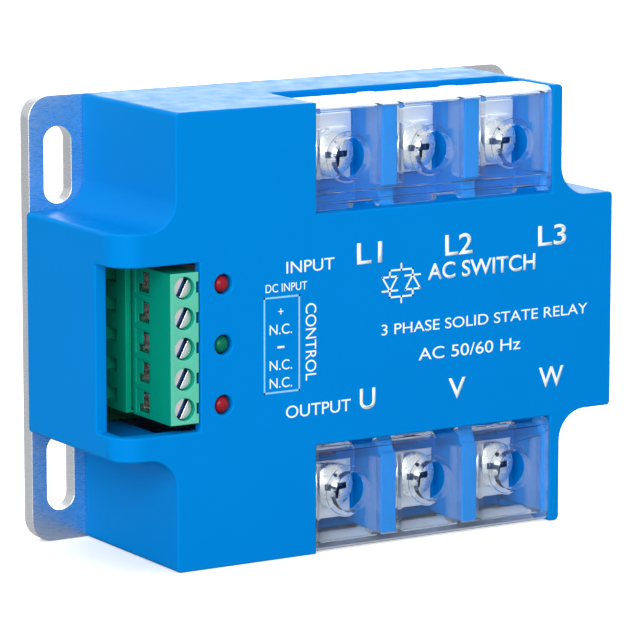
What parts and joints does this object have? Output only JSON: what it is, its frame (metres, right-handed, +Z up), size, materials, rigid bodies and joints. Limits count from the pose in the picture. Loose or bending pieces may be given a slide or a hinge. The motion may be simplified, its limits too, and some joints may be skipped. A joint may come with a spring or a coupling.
{
  "type": "solid state relay",
  "caption": "Three-phase panel-mount solid state relay: blue housing on a slotted metal base, hinged clear terminal covers, pull-out screw-terminal control plug.",
  "frame": {"origin": "centre of the mounting face, on the back of the base plate", "axes": "+X along the length, away from the control connector; +Y out of the mounting face, so the front face looks along -Y; +Z up the front face, towards the L1 L2 L3 terminals"},
  "size_m": [0.0988, 0.035, 0.077],
  "materials": {
    "plate_metal": "fine milled, nickel bright",
    "housing_blue": "satin moulded thermoplastic",
    "clear_cover": "clear moulded polycarbonate",
    "terminal_plating": "nickel plated copper",
    "clamp_steel": "zinc plated steel",
    "screw_steel": "zinc plated steel",
    "ceramic": "alumina ceramic",
    "copper": "bare copper",
    "silicon": "passivated silicon",
    "tinned_contact": "tin plated",
    "clear_gel": "soft silicone gel",
    "board_green": "solder mask",
    "coupler_white": "moulded",
    "varistor_blue": "dipped epoxy",
    "capacitor_yellow": "boxed film capacitor",
    "resistor_tan": "lacquered",
    "chip_black": "moulded epoxy",
    "header_green": "moulded polyamide",
    "plug_green": "moulded polyamide",
    "led_red": "tinted epoxy lens",
    "led_green": "tinted epoxy lens"
  },
  "bodies": {
    "base": {"base_plate": "plate_metal", "housing": "housing_blue", "terminal_l1": "terminal_plating", "terminal_l2": "terminal_plating", "terminal_l3": "terminal_plating", "terminal_u": "terminal_plating", "terminal_v": "terminal_plating", "terminal_w": "terminal_plating", "terminal_nuts": "terminal_plating", "substrate_1": "ceramic", "substrate_2": "ceramic", "substrate_3": "ceramic", "copper_pads": "copper", "thyristor_dies": "silicon", "die_clips": "copper", "gate_pins": "tinned_contact", "potting_gel": "clear_gel", "control_board": "board_green", "board_screws": "screw_steel", "optocouplers": "coupler_white", "varistors": "varistor_blue", "snubber_capacitors": "capacitor_yellow", "snubber_resistors": "resistor_tan", "logic_chip": "chip_black", "control_header": "header_green", "header_pins": "tinned_contact", "led_upper": "led_red", "led_middle": "led_green", "led_lower": "led_red", "led_spacers": "coupler_white", "led_leads": "tinned_contact", "housing_screws": "screw_steel"},
    "upper_cover": {"upper_cover": "clear_cover"},
    "lower_cover": {"lower_cover": "clear_cover"},
    "plug": {"control_plug": "plug_green", "plug_contacts": "tinned_contact"},
    "clamp_l1": {"clamp_l1": "clamp_steel"},
    "screw_l1": {"screw_l1": "screw_steel"},
    "clamp_l2": {"clamp_l2": "clamp_steel"},
    "screw_l2": {"screw_l2": "screw_steel"},
    "clamp_l3": {"clamp_l3": "clamp_steel"},
    "screw_l3": {"screw_l3": "screw_steel"},
    "clamp_u": {"clamp_u": "clamp_steel"},
    "screw_u": {"screw_u": "screw_steel"},
    "clamp_v": {"clamp_v": "clamp_steel"},
    "screw_v": {"screw_v": "screw_steel"},
    "clamp_w": {"clamp_w": "clamp_steel"},
    "screw_w": {"screw_w": "screw_steel"},
    "control_screw_1": {"control_screw_1": "screw_steel"},
    "wire_cage_1": {"wire_cage_1": "tinned_contact"},
    "control_screw_2": {"control_screw_2": "screw_steel"},
    "wire_cage_2": {"wire_cage_2": "tinned_contact"},
    "control_screw_3": {"control_screw_3": "screw_steel"},
    "wire_cage_3": {"wire_cage_3": "tinned_contact"},
    "control_screw_4": {"control_screw_4": "screw_steel"},
    "wire_cage_4": {"wire_cage_4": "tinned_contact"},
    "control_screw_5": {"control_screw_5": "screw_steel"},
    "wire_cage_5": {"wire_cage_5": "tinned_contact"}
  },
  "joints": [
    {"name": "upper_cover_hinge", "type": "hinge", "parent": "base", "child": "upper_cover", "pos_m": [0.0125, -0.0335, 0.0215], "axis": [1, 0, 0], "range_deg": [0, 95]},
    {"name": "lower_cover_hinge", "type": "hinge", "parent": "base", "child": "lower_cover", "pos_m": [0.0125, -0.0335, -0.0215], "axis": [-1, 0, 0], "range_deg": [0, 95]},
    {"name": "plug_pull", "type": "slide", "parent": "base", "child": "plug", "axis": [0, -1, 0], "range_m": [0, 0.012]},
    {"name": "clamp_l1_lift", "type": "slide", "parent": "base", "child": "clamp_l1", "axis": [0, -1, 0], "range_m": [0, 0.0028]},
    {"name": "screw_l1_turn", "type": "hinge", "parent": "clamp_l1", "child": "screw_l1", "pos_m": [-0.00415, -0.0297, 0.02865], "axis": [0, -1, 0], "range_deg": [0, 1440]},
    {"name": "clamp_l2_lift", "type": "slide", "parent": "base", "child": "clamp_l2", "axis": [0, -1, 0], "range_m": [0, 0.0028]},
    {"name": "screw_l2_turn", "type": "hinge", "parent": "clamp_l2", "child": "screw_l2", "pos_m": [0.0125, -0.0297, 0.02865], "axis": [0, -1, 0], "range_deg": [0, 1440]},
    {"name": "clamp_l3_lift", "type": "slide", "parent": "base", "child": "clamp_l3", "axis": [0, -1, 0], "range_m": [0, 0.0028]},
    {"name": "screw_l3_turn", "type": "hinge", "parent": "clamp_l3", "child": "screw_l3", "pos_m": [0.02915, -0.0297, 0.02865], "axis": [0, -1, 0], "range_deg": [0, 1440]},
    {"name": "clamp_u_lift", "type": "slide", "parent": "base", "child": "clamp_u", "axis": [0, -1, 0], "range_m": [0, 0.0028]},
    {"name": "screw_u_turn", "type": "hinge", "parent": "clamp_u", "child": "screw_u", "pos_m": [-0.00415, -0.0297, -0.02865], "axis": [0, -1, 0], "range_deg": [0, 1440]},
    {"name": "clamp_v_lift", "type": "slide", "parent": "base", "child": "clamp_v", "axis": [0, -1, 0], "range_m": [0, 0.0028]},
    {"name": "screw_v_turn", "type": "hinge", "parent": "clamp_v", "child": "screw_v", "pos_m": [0.0125, -0.0297, -0.02865], "axis": [0, -1, 0], "range_deg": [0, 1440]},
    {"name": "clamp_w_lift", "type": "slide", "parent": "base", "child": "clamp_w", "axis": [0, -1, 0], "range_m": [0, 0.0028]},
    {"name": "screw_w_turn", "type": "hinge", "parent": "clamp_w", "child": "screw_w", "pos_m": [0.02915, -0.0297, -0.02865], "axis": [0, -1, 0], "range_deg": [0, 1440]},
    {"name": "control_screw_1_turn", "type": "hinge", "parent": "plug", "child": "control_screw_1", "pos_m": [-0.037, -0.0341, -0.01091], "axis": [0, 1, 0], "range_deg": [0, 1296]},
    {"name": "wire_cage_1_lift", "type": "slide", "parent": "plug", "child": "wire_cage_1", "axis": [0, -1, 0], "range_m": [0, 0.0018]},
    {"name": "control_screw_2_turn", "type": "hinge", "parent": "plug", "child": "control_screw_2", "pos_m": [-0.037, -0.0341, -0.00583], "axis": [0, 1, 0], "range_deg": [0, 1296]},
    {"name": "wire_cage_2_lift", "type": "slide", "parent": "plug", "child": "wire_cage_2", "axis": [0, -1, 0], "range_m": [0, 0.0018]},
    {"name": "control_screw_3_turn", "type": "hinge", "parent": "plug", "child": "control_screw_3", "pos_m": [-0.037, -0.0341, -0.00075], "axis": [0, 1, 0], "range_deg": [0, 1296]},
    {"name": "wire_cage_3_lift", "type": "slide", "parent": "plug", "child": "wire_cage_3", "axis": [0, -1, 0], "range_m": [0, 0.0018]},
    {"name": "control_screw_4_turn", "type": "hinge", "parent": "plug", "child": "control_screw_4", "pos_m": [-0.037, -0.0341, 0.00433], "axis": [0, 1, 0], "range_deg": [0, 1296]},
    {"name": "wire_cage_4_lift", "type": "slide", "parent": "plug", "child": "wire_cage_4", "axis": [0, -1, 0], "range_m": [0, 0.0018]},
    {"name": "control_screw_5_turn", "type": "hinge", "parent": "plug", "child": "control_screw_5", "pos_m": [-0.037, -0.0341, 0.00941], "axis": [0, 1, 0], "range_deg": [0, 1296]},
    {"name": "wire_cage_5_lift", "type": "slide", "parent": "plug", "child": "wire_cage_5", "axis": [0, -1, 0], "range_m": [0, 0.0018]}
  ],
  "couplings": [
    {"joint": "screw_l1_turn", "follows": "clamp_l1_lift", "rad_per_m": 8975.9},
    {"joint": "screw_l2_turn", "follows": "clamp_l2_lift", "rad_per_m": 8975.9},
    {"joint": "screw_l3_turn", "follows": "clamp_l3_lift", "rad_per_m": 8975.9},
    {"joint": "screw_u_turn", "follows": "clamp_u_lift", "rad_per_m": 8975.9},
    {"joint": "screw_v_turn", "follows": "clamp_v_lift", "rad_per_m": 8975.9},
    {"joint": "screw_w_turn", "follows": "clamp_w_lift", "rad_per_m": 8975.9},
    {"joint": "control_screw_1_turn", "follows": "wire_cage_1_lift", "rad_per_m": 12566},
    {"joint": "control_screw_2_turn", "follows": "wire_cage_2_lift", "rad_per_m": 12566},
    {"joint": "control_screw_3_turn", "follows": "wire_cage_3_lift", "rad_per_m": 12566},
    {"joint": "control_screw_4_turn", "follows": "wire_cage_4_lift", "rad_per_m": 12566},
    {"joint": "control_screw_5_turn", "follows": "wire_cage_5_lift", "rad_per_m": 12566}
  ]
}
